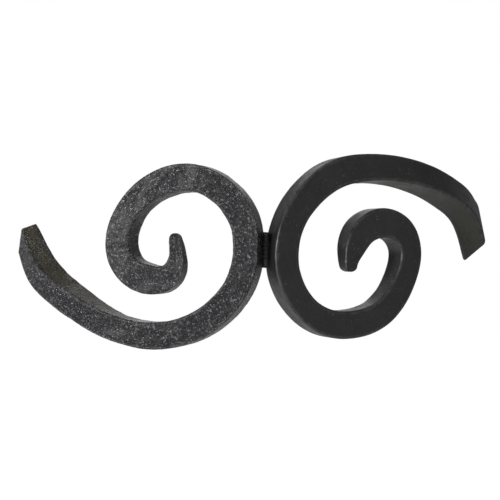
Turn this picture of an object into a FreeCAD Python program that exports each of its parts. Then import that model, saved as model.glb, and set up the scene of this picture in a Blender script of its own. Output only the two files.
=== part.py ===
import FreeCAD, Part
import math
import os

# Shutter dog holdback: two forged square-bar scrolls welded side by side into a lazy S, which
# turns on a lag post behind the weld. Lengths are in millimetres: the wall is the plane y = 0, the
# pivot is the Y axis, the ironwork stands at -Y, +X is to the right and +Z is up.

Vec = FreeCAD.Vector
Y_AXIS = Vec(0, 1, 0)

# ---- driving dimensions ------------------------------------------------------------------------

# forged scrolls
BAR = 10.0                # square bar the scrolls are forged from (3/8 in)
ARRIS = 1.0               # radius worn on the bar's four long edges
TILT = 20.0               # degrees each scroll lies back from square to the pivot
REACH = 103.2             # flat reach of a tail from its loop's centre line at the pivot
LOOP_RISE = 33.0          # flat rise of a loop's centre line above or below the pivot
BEND_START = 55.0         # flat distance from the pivot where a tail starts to curve to the wall
BEND_RADIUS = 110.0       # radius of that curve
SECTION_STEP = 2.4        # spacing of the rings of points along a bar
DIRECTION_STEP = 0.05     # step along a bar over which its direction is measured
ARRIS_STEPS = 3           # points round each corner of a ring
FLAT_STEPS = 4            # points between two corners of a ring
RAKE_LENGTH = 16.0        # length over which a tail's rings lean to its raked end
NOSE = 1.6                # length over which a curled tip rounds off
NOSE_TAPER = 0.45         # share of its size that a curled tip loses at its end
SHUTTER_GAP = 33.0        # clear space from the wall to the back of the tails

# pivot hub and its pins
HUB_RADIUS = 6.8
HUB_LENGTH = 20.0         # from the bottom of the cope to the hub's back face
HUB_SEAT = 0.02           # clearance of the cope on the bars
JOURNAL_RADIUS = 4.0
JOURNAL_CLEARANCE = 0.05  # radial, running
JOURNAL_LENGTH = 16.0     # inside the hub
BORE_END_GAP = 1.0        # end play in front of the journal
GROOVE_DEPTH = 1.0
GROOVE_FROM_BACK = 9.0    # hub's back face to the middle of the retaining groove
PIN_RADIUS = 1.25
PIN_CLEARANCE = 0.15      # pin to groove, all round
PIN_FIT = 0.01            # pin to its hole in the hub
PIN_INSET = 0.15          # pin ends below the hub's surface

# washers between hub and post
WASHER_RADIUS = 6.6
WASHER_BORE_CLEARANCE = 0.1
THRUST_THICKNESS = 1.0
WAVE_THICKNESS = 0.4
WAVE_HEIGHT = 1.5         # working height of the wave washer, crest to trough
WAVE_COUNT = 3
WAVE_SECTIONS = 36
FACE_GAP = 0.05           # between turning faces

# lag post
COLLAR_RADIUS = 6.8
COLLAR_THICKNESS = 3.0
POST_RADIUS = 5.0
HEX_ACROSS_FLATS = 13.0
HEX_HEIGHT = 8.0
CHAMFER = 0.5
NECK_RADIUS = 4.4         # seat of the wall washer, in front of the shank
NECK_SETBACK = 0.1        # the neck stops this short of the wall face
SHANK_RADIUS = 4.0
SHANK_LENGTH = 20.0       # plain shank, from the wall face
THREAD_ROOT_RADIUS = 2.9
THREAD_CREST_RADIUS = 3.9
THREAD_PITCH = 2.8
THREAD_LENGTH = 36.0
POINT_LENGTH = 8.0
POINT_RADIUS = 0.4
RIDGE_BASE = 0.72         # width of the thread's ridge at its base, in pitches
RIDGE_CREST = 0.08        # width at its crest, in pitches
RIDGE_LEAD_IN = 1.6       # plain root in front of the ridge, in pitches
RIDGE_PLAIN = 2.0         # thread length left plain at the two ends, in pitches
RIDGE_SUNK = 0.3          # depth of the ridge's base inside the root

# wall washer
WALL_WASHER_RADIUS = 8.0
WALL_WASHER_THICKNESS = 1.6
WALL_WASHER_BORE_CLEARANCE = 0.1

# welds
VALLEY_BEAD_RADIUS = 2.3
VALLEY_BEAD_LENGTH = 12.6
HUB_BEAD_RADIUS = 1.3
VALLEY_BEAD_SETBACK = 0.2  # the bead stops this short of the bottom of the valley
HUB_BEAD_SPAN = 11.0      # height of each bead beside the hub

# cutting shapes
OVERCUT = 1.0             # a cutting shape runs this far past what it cuts
BLOCK = 3 * BAR           # half size of the blocks that trim the parts behind the bars

# The smith's flat pattern of each bar, from the curled tip to the tail's end. A row is: distance
# outwards from the loop's centre line at the pivot, height, width and depth in bars, and the roll
# in degrees that turns the tail's inner face forwards. Distances are for the reach and rise below.
PATTERN_REACH = 103.2
PATTERN_RISE = 33.0
LEFT_PATTERN = [
    (28.4, 6.4, 0.34, 0.36, 0),
    (27.9, 2.4, 0.48, 0.44, 0),
    (27.4, -2.0, 0.58, 0.50, 0),
    (28.6, -7.4, 0.80, 0.64, 0),
    (32.9, -11.0, 1.02, 0.86, 0),
    (39.4, -11.3, 1.14, 1.00, 0),
    (46.9, -8.0, 1.10, 1.00, 0),
    (51.4, -0.6, 1.04, 1.00, 0),
    (50.9, 8.0, 1.00, 1.00, 0),
    (46.6, 16.2, 0.98, 1.00, 0),
    (39.4, 22.8, 1.02, 1.00, 0),
    (29.6, 26.9, 1.08, 1.00, 0),
    (18.3, 26.8, 1.06, 1.00, 0),
    (8.3, 20.9, 1.06, 1.00, 0),
    (1.6, 11.4, 1.04, 1.00, 0),
    (0.0, 0.6, 1.02, 1.00, 0),
    (2.2, -10.6, 1.02, 1.00, 0),
    (9.8, -21.8, 1.06, 1.00, 0),
    (21.6, -29.7, 1.08, 1.00, 0),
    (36.2, -32.8, 1.04, 1.00, 0),
    (49.7, -31.3, 1.02, 1.00, 0),
    (62.4, -27.1, 0.99, 1.08, 2),
    (74.9, -21.2, 0.99, 1.14, 6),
    (88.0, -14.4, 1.00, 1.14, 10),
    (98.0, -5.7, 0.98, 1.04, 12),
    (103.2, 4.6, 0.90, 0.70, 12),
]
RIGHT_PATTERN = [
    (26.9, -8.4, 0.44, 0.50, 0),
    (27.2, -4.6, 0.58, 0.66, 0),
    (28.9, 0.6, 0.86, 0.86, 0),
    (32.8, 6.8, 1.06, 1.00, 0),
    (39.2, 10.3, 1.16, 1.00, 0),
    (45.8, 10.0, 1.12, 1.00, 0),
    (51.4, 6.4, 1.06, 1.00, 0),
    (54.2, 0.0, 0.98, 1.00, 0),
    (52.8, -8.4, 0.96, 1.00, 0),
    (47.5, -18.0, 1.00, 1.00, 0),
    (39.8, -25.2, 1.04, 1.00, 0),
    (29.4, -28.5, 1.08, 1.00, 0),
    (17.5, -27.8, 1.04, 1.00, 0),
    (7.8, -21.9, 0.98, 1.00, 0),
    (1.3, -11.8, 1.00, 1.00, 0),
    (-0.2, 0.6, 0.98, 1.00, 0),
    (3.2, 12.0, 1.02, 1.00, 0),
    (11.0, 22.2, 1.08, 1.00, 0),
    (22.5, 29.5, 1.12, 1.00, 0),
    (36.6, 32.1, 1.06, 1.00, 4),
    (50.9, 31.6, 1.03, 1.00, 10),
    (64.9, 29.1, 1.02, 1.04, 16),
    (79.3, 24.7, 1.04, 1.08, 22),
    (92.6, 17.4, 1.14, 1.10, 26),
    (99.4, 7.4, 1.18, 1.08, 26),
]
# The normal of the raked end of each tail: along the bar, towards the inside of the curl and
# towards the front.
LEFT_RAKE = (0.75, -0.63, 0.20)
RIGHT_RAKE = (0.68, -0.66, 0.40)

# ---- sizes that follow -------------------------------------------------------------------------

TILT_RAD = math.radians(TILT)
PIVOT_OFFSET = BAR / 2 + BAR * math.tan(TILT_RAD)      # puts the back corners of the bars together
BORE_RADIUS = JOURNAL_RADIUS + JOURNAL_CLEARANCE
GROOVE_RADIUS = JOURNAL_RADIUS - GROOVE_DEPTH
PIN_OFFSET = GROOVE_RADIUS + PIN_CLEARANCE + PIN_RADIUS


def wrap_angle(reach):
    """Angle in radians by which the bars' sheet lies back at a flat distance from the pivot."""
    return TILT_RAD + max(0.0, reach - BEND_START) / BEND_RADIUS


def wrap(reach):
    """Distance from the pivot and depth behind the apex for a flat distance from the pivot."""
    flat = min(reach, BEND_START)
    angle = wrap_angle(reach)
    across = flat * math.cos(TILT_RAD) + BEND_RADIUS * (math.sin(angle) - math.sin(TILT_RAD))
    depth = flat * math.sin(TILT_RAD) + BEND_RADIUS * (math.cos(TILT_RAD) - math.cos(angle))
    return across, depth


TAIL_REACH = PIVOT_OFFSET + REACH
TAIL_BACK = wrap(TAIL_REACH)[1] + BAR * math.cos(wrap_angle(TAIL_REACH))
APEX_Y = -(SHUTTER_GAP + TAIL_BACK)                    # where the two front faces would meet
COPE_Y = APEX_Y + BAR / math.cos(TILT_RAD)             # bottom of the groove behind the bars
HUB_BACK_Y = COPE_Y + HUB_LENGTH
THRUST_BACK_Y = HUB_BACK_Y + FACE_GAP + THRUST_THICKNESS
COLLAR_Y = THRUST_BACK_Y + FACE_GAP + WAVE_HEIGHT + FACE_GAP
GROOVE_Y = HUB_BACK_Y - GROOVE_FROM_BACK


# ---- forged bars -------------------------------------------------------------------------------

class Bar:
    """A square bar bent along a flat pattern, which is wrapped back towards the wall."""

    def __init__(self, side, pattern):
        self.side = side
        reach_scale = REACH / PATTERN_REACH
        rise_scale = LOOP_RISE / PATTERN_RISE
        line = [Vec(PIVOT_OFFSET + row[0] * reach_scale, row[1] * rise_scale, 0) for row in pattern]
        knots = [0.0]
        for before, after in zip(line, line[1:]):
            knots.append(knots[-1] + (after - before).Length)
        self.length = knots[-1]
        self.line = Part.BSplineCurve()
        self.line.interpolate(Points=line, Parameters=knots)
        self.knots = knots
        self.sizes = [Vec(row[2], row[3], row[4]) for row in pattern]

    def point(self, along):
        """Point of the front face's centre line."""
        flat = self.line.value(along)
        across, depth = wrap(flat.x)
        return Vec(self.side * across, APEX_Y + depth, flat.y)

    def size(self, along):
        """Width and depth in bars and roll in degrees, eased from one row of the pattern to the next."""
        index = 1
        while index < len(self.knots) - 1 and self.knots[index] < along:
            index += 1
        start, end = self.knots[index - 1], self.knots[index]
        share = min(1.0, max(0.0, (along - start) / (end - start)))
        slopes = [self.slope(index - 1) * (end - start), self.slope(index) * (end - start)]
        rest = 1 - share
        value = self.sizes[index - 1] * ((1 + 2 * share) * rest * rest)
        value = value + self.sizes[index] * (share * share * (3 - 2 * share))
        return value + slopes[0] * (share * rest * rest) - slopes[1] * (share * share * rest)

    def slope(self, index):
        """Rate of change of the sizes at a row of the pattern."""
        first = max(0, index - 1)
        last = min(len(self.knots) - 1, index + 1)
        return (self.sizes[last] - self.sizes[first]) * (1 / (self.knots[last] - self.knots[first]))

    def frame(self, along):
        """Direction along the bar, its inward width direction and its front normal, at a place."""
        start = max(0.0, along - DIRECTION_STEP)
        end = min(self.length, along + DIRECTION_STEP)
        forward = (self.point(end) - self.point(start)).normalize()
        angle = wrap_angle(self.line.value(along).x)
        front = Vec(self.side * math.sin(angle), -math.cos(angle), 0)
        front = (front - forward * front.dot(forward)).normalize()
        width = forward.cross(front)
        roll = math.radians(self.size(along).z)
        rolled_front = front * math.cos(roll) - width * math.sin(roll)
        rolled_width = width * math.cos(roll) + front * math.sin(roll)
        return forward, rolled_width, rolled_front

    def section(self, along, rake):
        """Ring of points round the bar, leaning towards the raked end as the end comes near."""
        forward, width, front = self.frame(along)
        size = self.size(along)
        taper = 1.0 - NOSE_TAPER * (1.0 - min(1.0, along / NOSE)) ** 2
        half_depth = 0.5 * BAR * size.y
        centre = self.point(along) - front * half_depth
        lean = ease(1.0 - (self.length - along) / RAKE_LENGTH)
        ring = []
        for across, up in rounded_square(0.5 * BAR * size.x * taper, half_depth * taper):
            slip = -lean * (across * rake[1] + up * rake[2]) / rake[0]
            ring.append(centre + width * across + front * up + forward * slip)
        return ring

    def solid(self, rake):
        """The bar as one smooth surface through its rings of points, closed by a flat end each way."""
        count = max(8, round((self.length - NOSE) / SECTION_STEP))
        places = [0.0, NOSE / 2]
        places += [NOSE + (self.length - NOSE) * i / count for i in range(count + 1)]
        skin = Part.BSplineSurface()
        skin.interpolate([self.section(along, rake) for along in places])
        first, last, seam, seam_end = skin.bounds()
        cuts = [seam + (seam_end - seam) * quarter / 4 for quarter in range(5)]
        strips = []
        for start, end in zip(cuts, cuts[1:]):
            strip = skin.copy()
            strip.segment(first, last, start, end)
            strips.append(strip)
        faces = [strip.toShape() for strip in strips]
        for place in (first, last):
            faces.append(Part.Face(Part.Wire([strip.uIso(place).toShape() for strip in strips])))
        shell = Part.Shell(faces)
        shell.sewShape()
        return Part.Solid(shell)


def ease(share):
    """Smooth step from 0 to 1."""
    share = min(1.0, max(0.0, share))
    return share * share * (3 - 2 * share)


def rounded_square(half_width, half_height):
    """Points round a rectangle with rounded corners, the first one repeated at the end."""
    radius = ARRIS * min(1.0, 2 * half_width / BAR, 2 * half_height / BAR)
    corners = []
    for quarter, (u, v) in enumerate([(1, 1), (-1, 1), (-1, -1), (1, -1)]):
        angles = [math.radians(90 * (quarter + step / ARRIS_STEPS)) for step in range(ARRIS_STEPS + 1)]
        middle = (u * (half_width - radius), v * (half_height - radius))
        corners.append([(middle[0] + radius * math.cos(a), middle[1] + radius * math.sin(a)) for a in angles])
    points = []
    for corner, following in zip(corners, corners[1:] + corners[:1]):
        points += corner
        start, end = corner[-1], following[0]
        for step in range(1, FLAT_STEPS + 1):
            share = step / (FLAT_STEPS + 1)
            points.append((start[0] + share * (end[0] - start[0]), start[1] + share * (end[1] - start[1])))
    return points + points[:1]


LEFT_BAR = Bar(-1, LEFT_PATTERN)
RIGHT_BAR = Bar(1, RIGHT_PATTERN)


# ---- round parts on the pivot ------------------------------------------------------------------

def rod(radius, start_y, end_y):
    """Cylinder on the pivot axis."""
    return Part.makeCylinder(radius, end_y - start_y, Vec(0, start_y, 0), Y_AXIS)


def ring(outer, inner, start_y, end_y):
    """Flat ring on the pivot axis."""
    return rod(outer, start_y, end_y).cut(rod(inner, start_y - OVERCUT, end_y + OVERCUT))


def turned(profile):
    """Solid of revolution about the pivot from (radius, y) points that start and end on it."""
    points = [Vec(radius, y, 0) for radius, y in profile]
    face = Part.Face(Part.makePolygon(points + [points[0]]))
    return face.revolve(Vec(0, 0, 0), Y_AXIS, 360)


def behind_bars(clearance):
    """Prism of the space behind both bars' back faces near the pivot."""
    start = COPE_Y + clearance
    side = start + BLOCK * math.tan(TILT_RAD)
    back = start + 4 * BLOCK
    outline = [Vec(0, start, -BLOCK), Vec(BLOCK, side, -BLOCK), Vec(BLOCK, back, -BLOCK)]
    outline += [Vec(-BLOCK, back, -BLOCK), Vec(-BLOCK, side, -BLOCK)]
    return Part.Face(Part.makePolygon(outline + [outline[0]])).extrude(Vec(0, 0, 2 * BLOCK))


def pin_cylinder(radius, half_length, level):
    """Cylinder across the hub, level with the groove."""
    return Part.makeCylinder(radius, 2 * half_length, Vec(-half_length, GROOVE_Y, level), Vec(1, 0, 0))


def pivot_hub():
    """Blind hub, coped to lie in the groove behind the two bars, with two cross holes for pins."""
    hub = rod(HUB_RADIUS, COPE_Y - OVERCUT, HUB_BACK_Y).common(behind_bars(HUB_SEAT))
    hub = hub.cut(rod(BORE_RADIUS, HUB_BACK_Y - JOURNAL_LENGTH - BORE_END_GAP, HUB_BACK_Y + OVERCUT))
    for level in (PIN_OFFSET, -PIN_OFFSET):
        hub = hub.cut(pin_cylinder(PIN_RADIUS + PIN_FIT, HUB_RADIUS, level))
    return hub


def retaining_pins():
    """Two pins that cross the hub at the journal's groove and keep the dog on its post."""
    half_chord = math.sqrt(HUB_RADIUS ** 2 - (PIN_OFFSET + PIN_RADIUS) ** 2)
    pins = [pin_cylinder(PIN_RADIUS, half_chord - PIN_INSET, level) for level in (PIN_OFFSET, -PIN_OFFSET)]
    return Part.makeCompound(pins)


def thrust_washer():
    """Bronze washer against the hub's back face."""
    bore = BORE_RADIUS + WASHER_BORE_CLEARANCE
    return ring(WASHER_RADIUS, bore, THRUST_BACK_Y - THRUST_THICKNESS, THRUST_BACK_Y)


def wave_washer():
    """Spring washer whose waves press the thrust washer and hold the dog where it is turned."""
    inner = BORE_RADIUS + WASHER_BORE_CLEARANCE
    middle = (inner + WASHER_RADIUS) / 2
    half_width = (WASHER_RADIUS - inner) / 2
    swing = (WAVE_HEIGHT - WAVE_THICKNESS) / 2
    centre_y = THRUST_BACK_Y + FACE_GAP + WAVE_HEIGHT / 2
    sections = []
    for index in range(WAVE_SECTIONS):
        angle = 2 * math.pi * index / WAVE_SECTIONS
        radial = Vec(math.cos(angle), 0, math.sin(angle))
        centre = radial * middle + Y_AXIS * (centre_y + swing * math.cos(WAVE_COUNT * angle))
        half = WAVE_THICKNESS / 2
        signs = [(1, 1), (-1, 1), (-1, -1), (1, -1), (1, 1)]
        corners = [centre + radial * (u * half_width) + Y_AXIS * (v * half) for u, v in signs]
        sections.append(Part.makePolygon(corners))
    return Part.makeLoft(sections, True, False, True)


def post_turning():
    """Lag post without its hexagon and thread: journal, collar, post, shank and point."""
    tip_y = HUB_BACK_Y - JOURNAL_LENGTH
    groove_half = PIN_RADIUS + PIN_CLEARANCE
    hex_back_y = -WALL_WASHER_THICKNESS
    thread_y = SHANK_LENGTH
    point_y = thread_y + THREAD_LENGTH
    return turned([
        (0, tip_y),
        (JOURNAL_RADIUS - CHAMFER, tip_y),
        (JOURNAL_RADIUS, tip_y + CHAMFER),
        (JOURNAL_RADIUS, GROOVE_Y - groove_half),
        (GROOVE_RADIUS, GROOVE_Y - groove_half),
        (GROOVE_RADIUS, GROOVE_Y + groove_half),
        (JOURNAL_RADIUS, GROOVE_Y + groove_half),
        (JOURNAL_RADIUS, COLLAR_Y),
        (COLLAR_RADIUS - CHAMFER, COLLAR_Y),
        (COLLAR_RADIUS, COLLAR_Y + CHAMFER),
        (COLLAR_RADIUS, COLLAR_Y + COLLAR_THICKNESS - CHAMFER),
        (COLLAR_RADIUS - CHAMFER, COLLAR_Y + COLLAR_THICKNESS),
        (POST_RADIUS, COLLAR_Y + COLLAR_THICKNESS),
        (POST_RADIUS, hex_back_y),
        (NECK_RADIUS, hex_back_y),
        (NECK_RADIUS, -NECK_SETBACK),
        (SHANK_RADIUS, -NECK_SETBACK),
        (SHANK_RADIUS, thread_y),
        (THREAD_ROOT_RADIUS, thread_y + SHANK_RADIUS - THREAD_ROOT_RADIUS),
        (THREAD_ROOT_RADIUS, point_y),
        (POINT_RADIUS, point_y + POINT_LENGTH),
        (0, point_y + POINT_LENGTH),
    ])


def hexagon():
    """Wrench hexagon of the lag post, with its corners chamfered at both ends."""
    corner = HEX_ACROSS_FLATS / math.sqrt(3)
    back_y = -WALL_WASHER_THICKNESS
    front_y = back_y - HEX_HEIGHT
    angles = [math.radians(60 * index + 30) for index in range(7)]
    outline = [Vec(corner * math.cos(a), front_y, corner * math.sin(a)) for a in angles]
    prism = Part.Face(Part.makePolygon(outline)).extrude(Y_AXIS * HEX_HEIGHT)
    limit = turned([
        (0, front_y),
        (corner - 2 * CHAMFER, front_y),
        (corner, front_y + CHAMFER),
        (corner, back_y - CHAMFER),
        (corner - 2 * CHAMFER, back_y),
        (0, back_y),
    ])
    return prism.common(limit)


def thread_ridge():
    """Helical ridge of the lag thread, with its base sunk into the root."""
    turns_length = THREAD_LENGTH - RIDGE_PLAIN * THREAD_PITCH
    base = THREAD_ROOT_RADIUS - RIDGE_SUNK
    half_base = 0.5 * RIDGE_BASE * THREAD_PITCH
    half_crest = 0.5 * RIDGE_CREST * THREAD_PITCH
    helix = Part.makeHelix(THREAD_PITCH, turns_length, base)
    outline = [Vec(base, 0, -half_base), Vec(THREAD_CREST_RADIUS, 0, -half_crest)]
    outline += [Vec(THREAD_CREST_RADIUS, 0, half_crest), Vec(base, 0, half_base)]
    profile = Part.makePolygon(outline + [outline[0]])
    ridge = Part.Wire(helix).makePipeShell([profile], True, True)
    ridge.rotate(Vec(0, 0, 0), Vec(1, 0, 0), -90)
    ridge.translate(Vec(0, SHANK_LENGTH + RIDGE_LEAD_IN * THREAD_PITCH, 0))
    return ridge


def lag_post():
    """Post that screws into the wall and carries the dog on its journal."""
    return post_turning().fuse(hexagon()).fuse(thread_ridge()).removeSplitter()


def wall_washer():
    """Flat washer between the hexagon and the wall."""
    bore = NECK_RADIUS + WALL_WASHER_BORE_CLEARANCE
    return ring(WALL_WASHER_RADIUS, bore, -WALL_WASHER_THICKNESS, 0)


# ---- welds -------------------------------------------------------------------------------------

def scroll_weld(bars):
    """Bead laid in the bottom of the valley between the two scrolls."""
    centre_y = COPE_Y - VALLEY_BEAD_RADIUS - VALLEY_BEAD_SETBACK
    start = Vec(0, centre_y, -VALLEY_BEAD_LENGTH / 2)
    bead = Part.makeCylinder(VALLEY_BEAD_RADIUS, VALLEY_BEAD_LENGTH, start, Vec(0, 0, 1))
    return bead.cut(bars[0]).cut(bars[1])


def hub_weld(bars):
    """Two fillet beads that join the hub's sides to the backs of the bars."""
    beads = []
    for side in (-1, 1):
        normal = Vec(-side * math.sin(TILT_RAD), math.cos(TILT_RAD), 0)
        ring_radius = HUB_RADIUS / math.cos(TILT_RAD)
        bead = Part.makeTorus(ring_radius, HUB_BEAD_RADIUS, Vec(0, COPE_Y, 0), normal)
        corner = Vec(0 if side > 0 else -BLOCK, COPE_Y - BAR, -HUB_BEAD_SPAN / 2)
        bead = bead.common(Part.makeBox(BLOCK, BLOCK, HUB_BEAD_SPAN, corner))
        bead = bead.common(behind_bars(HUB_SEAT)).cut(rod(HUB_RADIUS, COPE_Y - BAR, HUB_BACK_Y))
        beads.append(bead.cut(bars[0]).cut(bars[1]))
    return Part.makeCompound(beads)


# ---- all nodes ---------------------------------------------------------------------------------

def main():
    os.makedirs("parts", exist_ok=True)
    bars = [LEFT_BAR.solid(LEFT_RAKE), RIGHT_BAR.solid(RIGHT_RAKE)]
    nodes = {
        "left_scroll": bars[0],
        "right_scroll": bars[1],
        "scroll_weld": scroll_weld(bars),
        "pivot_hub": pivot_hub(),
        "hub_weld": hub_weld(bars),
        "retaining_pins": retaining_pins(),
        "thrust_washer": thrust_washer(),
        "wave_washer": wave_washer(),
        "lag_post": lag_post(),
        "wall_washer": wall_washer(),
    }
    for name, shape in nodes.items():
        box = shape.BoundBox
        print("%-15s solids %d valid %s volume %9.2f  x %.1f..%.1f y %.1f..%.1f z %.1f..%.1f" % (
            name, len(shape.Solids), shape.isValid(), shape.Volume,
            box.XMin, box.XMax, box.YMin, box.YMax, box.ZMin, box.ZMax))
        shape.exportStep("parts/%s.step" % name)


main()
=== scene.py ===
"""Looks of a shutter dog holdback: two forged scrolls that turn together on a lag post.

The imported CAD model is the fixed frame. This script replaces its plain solids with hand-forged,
welded and turned surfaces worked out with numpy, dresses every piece in a procedural finish, and
sets up a pale studio round it. Lengths are in metres unless a name ends in _mm.
"""

import logging
import math
from dataclasses import dataclass, field
from enum import Enum
from typing import Sequence

import bpy
import numpy as np
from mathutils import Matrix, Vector


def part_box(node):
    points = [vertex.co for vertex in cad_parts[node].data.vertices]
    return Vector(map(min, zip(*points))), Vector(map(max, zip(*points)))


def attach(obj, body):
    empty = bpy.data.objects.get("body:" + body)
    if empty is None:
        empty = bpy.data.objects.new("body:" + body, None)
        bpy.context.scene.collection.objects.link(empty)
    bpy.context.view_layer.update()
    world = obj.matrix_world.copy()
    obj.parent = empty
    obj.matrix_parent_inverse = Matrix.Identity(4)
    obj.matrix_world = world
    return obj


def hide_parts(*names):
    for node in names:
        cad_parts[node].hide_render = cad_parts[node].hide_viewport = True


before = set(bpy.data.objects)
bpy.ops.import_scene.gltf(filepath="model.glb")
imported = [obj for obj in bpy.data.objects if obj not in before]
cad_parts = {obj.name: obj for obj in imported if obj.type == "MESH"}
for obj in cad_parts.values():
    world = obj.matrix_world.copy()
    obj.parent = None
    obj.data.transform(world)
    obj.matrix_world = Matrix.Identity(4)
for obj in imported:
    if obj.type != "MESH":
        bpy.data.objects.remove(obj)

logging.basicConfig(level=logging.INFO, format="%(name)s: %(message)s")
LOG = logging.getLogger("shutter_dog")
MM = 0.001


# ---- arrays and meshes -------------------------------------------------------------------------

def unit(vectors: np.ndarray) -> np.ndarray:
    """Return the vectors along the last axis scaled to length one."""
    return vectors / np.linalg.norm(vectors, axis=-1, keepdims=True)


def distance_along(points: np.ndarray) -> np.ndarray:
    """Return the distance of each point of a path from its first, along the path."""
    return np.concatenate([[0.0], np.cumsum(np.linalg.norm(np.diff(points, axis=0), axis=1))])


def full_turn(count: int) -> np.ndarray:
    """Return evenly spaced angles of one whole turn."""
    return np.linspace(0, 2 * math.pi, count, endpoint=False)


def revolve(radius: np.ndarray, y: np.ndarray, angle: np.ndarray) -> np.ndarray:
    """Return points at radii round the y axis."""
    return np.stack([radius * np.cos(angle), y, radius * np.sin(angle)], axis=-1)


def smooth_step(share: np.ndarray) -> np.ndarray:
    """Return 0 below 0, 1 above 1, and the cubic 3t^2 - 2t^3 between."""
    share = np.clip(share, 0.0, 1.0)
    return share * share * (3.0 - 2.0 * share)


def natural_spline(knots: np.ndarray, values: np.ndarray, at: np.ndarray) -> np.ndarray:
    """Interpolate rows of values with a cubic spline whose ends are free of curvature.

    The second derivatives M solve the tridiagonal system h0 M0 + 2 (h0 + h1) M1 + h1 M2 = 6 times
    the change of slope at each inner knot. Each span is then the usual cubic in its two ends.

    Args:
        knots: Rising positions of the rows.
        values: One row per knot.
        at: Positions to read the spline at.

    Returns:
        One row for each position in at.
    """
    gaps = np.diff(knots)
    slopes = np.diff(values, axis=0) / gaps[:, None]
    count = len(knots)
    system = np.eye(count)
    inner = np.arange(1, count - 1)
    system[inner, inner - 1] = gaps[:-1]
    system[inner, inner] = 2.0 * (gaps[:-1] + gaps[1:])
    system[inner, inner + 1] = gaps[1:]
    right = np.zeros_like(values)
    right[1:-1] = 6.0 * np.diff(slopes, axis=0)
    bends = np.linalg.solve(system, right)
    span = np.clip(np.searchsorted(knots, at) - 1, 0, count - 2)
    gap = gaps[span][:, None]
    before = (at - knots[span])[:, None]
    after = gap - before
    curve = (bends[span] * after ** 3 + bends[span + 1] * before ** 3) / (6.0 * gap)
    curve += (values[span] / gap - bends[span] * gap / 6.0) * after
    return curve + (values[span + 1] / gap - bends[span + 1] * gap / 6.0) * before


def eased(knots: np.ndarray, values: np.ndarray, at: np.ndarray) -> np.ndarray:
    """Interpolate rows of values with cubic spans whose slopes are those between the neighbours.

    Args:
        knots: Rising positions of the rows.
        values: One row per knot.
        at: Positions to read the values at.

    Returns:
        One row for each position in at.
    """
    order = np.arange(len(knots))
    low = np.maximum(order - 1, 0)
    high = np.minimum(order + 1, len(knots) - 1)
    slopes = (values[high] - values[low]) / (knots[high] - knots[low])[:, None]
    span = np.clip(np.searchsorted(knots, at) - 1, 0, len(knots) - 2)
    gap = (knots[span + 1] - knots[span])[:, None]
    share = np.clip((at - knots[span])[:, None] / gap, 0.0, 1.0)
    rest = 1.0 - share
    curve = values[span] * (1.0 + 2.0 * share) * rest ** 2
    curve += values[span + 1] * share ** 2 * (3.0 - 2.0 * share)
    return curve + gap * (slopes[span] * share * rest ** 2 - slopes[span + 1] * share ** 2 * rest)


def lattice_noise(along: np.ndarray, across: np.ndarray, cell: float, seed: int) -> np.ndarray:
    """Return smooth noise from -1 to 1: random values on a square lattice, eased between.

    Args:
        along: First coordinate of each point.
        across: Second coordinate of each point.
        cell: Lattice spacing in the same units.
        seed: Seed of the random lattice.

    Returns:
        The noise at each point.
    """
    size = 257
    table = np.random.default_rng(seed).uniform(-1.0, 1.0, (size, size))
    column, row = along / cell + 1000.0, across / cell + 1000.0
    left, low = np.floor(column).astype(int), np.floor(row).astype(int)
    fade_u, fade_v = smooth_step(column - left), smooth_step(row - low)
    left, low = left % size, low % size
    right, high = (left + 1) % size, (low + 1) % size
    bottom = table[left, low] * (1.0 - fade_u) + table[right, low] * fade_u
    top = table[left, high] * (1.0 - fade_u) + table[right, high] * fade_u
    return bottom * (1.0 - fade_v) + top * fade_v


def soften(outline: Sequence[tuple[float, float]], radius: float, steps: int = 4) -> np.ndarray:
    """Round the inner corners of an open outline.

    Each corner becomes the quadratic (1-t)^2 A + 2t(1-t) B + t^2 C, where B is the corner and A and
    C lie a radius, or 0.45 of the shorter side, before and after it.

    Args:
        outline: Corner points of the outline.
        radius: Distance from each corner at which its rounding starts.
        steps: Spans in each rounded corner.

    Returns:
        The rounded outline as an array of points.
    """
    points = np.array(outline, float)
    share = np.linspace(0.0, 1.0, steps + 1)[:, None]
    rounded = [points[:1]]
    for before, corner, after in zip(points, points[1:], points[2:]):
        back, ahead = before - corner, after - corner
        reach = min(radius, 0.45 * np.linalg.norm(back), 0.45 * np.linalg.norm(ahead))
        start, end = corner + unit(back) * reach, corner + unit(ahead) * reach
        rounded.append((1 - share) ** 2 * start + 2 * share * (1 - share) * corner + share ** 2 * end)
    rounded.append(points[-1:])
    return np.concatenate(rounded)


def grid_faces(rings: int, around: int, first: int, close: bool) -> np.ndarray:
    """Return the four-sided faces between rings of points numbered ring by ring.

    Args:
        rings: Number of rings.
        around: Points in each ring.
        first: Number of the first point of the first ring.
        close: Whether the last ring joins the first.

    Returns:
        An array of faces, each a row of four point numbers.
    """
    ring = np.arange(rings if close else rings - 1)[:, None]
    point = np.arange(around)[None, :]
    here, ahead = ring * around, ((ring + 1) % rings) * around
    following = (point + 1) % around
    corners = [here + point, here + following, ahead + following, ahead + point]
    return np.stack(corners, axis=-1).reshape(-1, 4) + first


def add_object(name: str, data: bpy.types.ID) -> bpy.types.Object:
    """Make an object that holds a mesh, lamp or camera, and link it to the scene."""
    made = bpy.data.objects.new(name, data)
    bpy.context.scene.collection.objects.link(made)
    return made


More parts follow.
